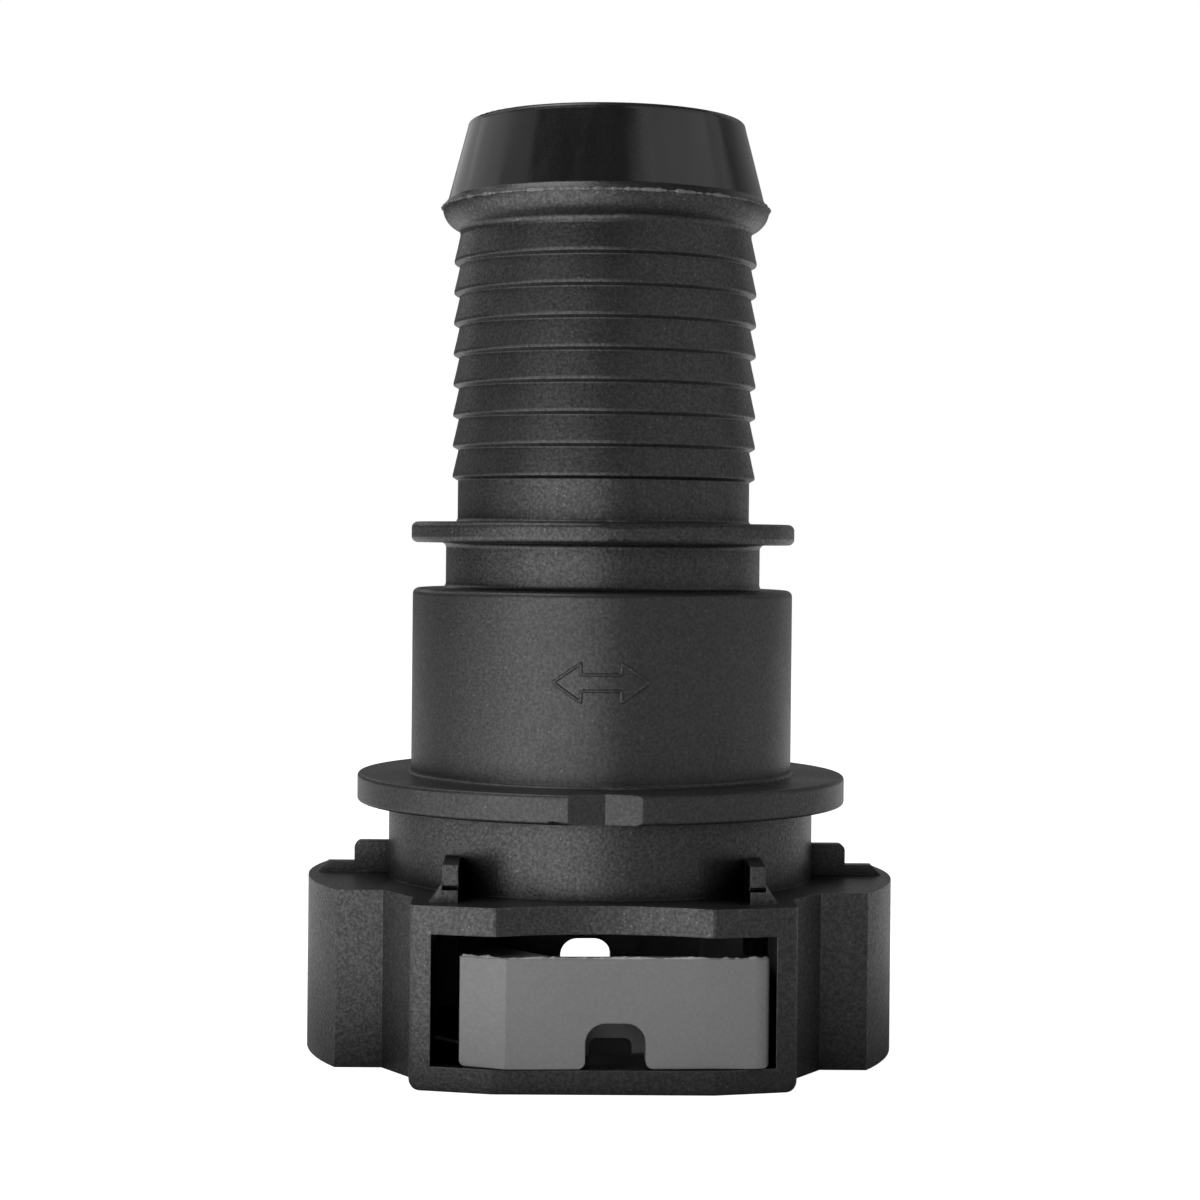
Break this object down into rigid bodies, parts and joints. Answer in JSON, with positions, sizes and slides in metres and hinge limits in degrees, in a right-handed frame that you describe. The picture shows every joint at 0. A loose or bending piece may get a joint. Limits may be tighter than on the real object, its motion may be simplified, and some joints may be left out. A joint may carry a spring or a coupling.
{
  "type": "quick-connect heater hose connector",
  "caption": "Straight push-on hose connector: a lobed head with squeeze tabs and a seal socket below, a flanged housing, and a barbed hose stem on top.",
  "frame": {"origin": "centre of the mouth, in the plane of the head's bottom face that the connector stands on", "axes": "+Z along the connector's axis, from the mouth to the hose stem's tip; +X to the right and +Y to the rear, as seen from the pictured side"},
  "size_m": [0.038, 0.0346, 0.0601],
  "materials": {
    "body_nylon": "black glass-filled nylon with a fine spark-eroded grain",
    "clip_nylon": "grey nylon, satin",
    "seal_rubber": "black rubber, greased",
    "spacer_nylon": "natural nylon, satin",
    "keeper_nylon": "black nylon, smooth"
  },
  "bodies": {
    "shell": {"connector_body": "body_nylon", "o_ring_lower": "seal_rubber", "spacer_ring": "spacer_nylon", "o_ring_upper": "seal_rubber", "seal_keeper": "keeper_nylon"},
    "clip": {"retainer_clip": "clip_nylon"}
  },
  "joints": [
    {"name": "clip_press", "type": "slide", "parent": "shell", "child": "clip", "axis": [0, 1, 0], "range_m": [-0.0008, 0.0008]}
  ]
}
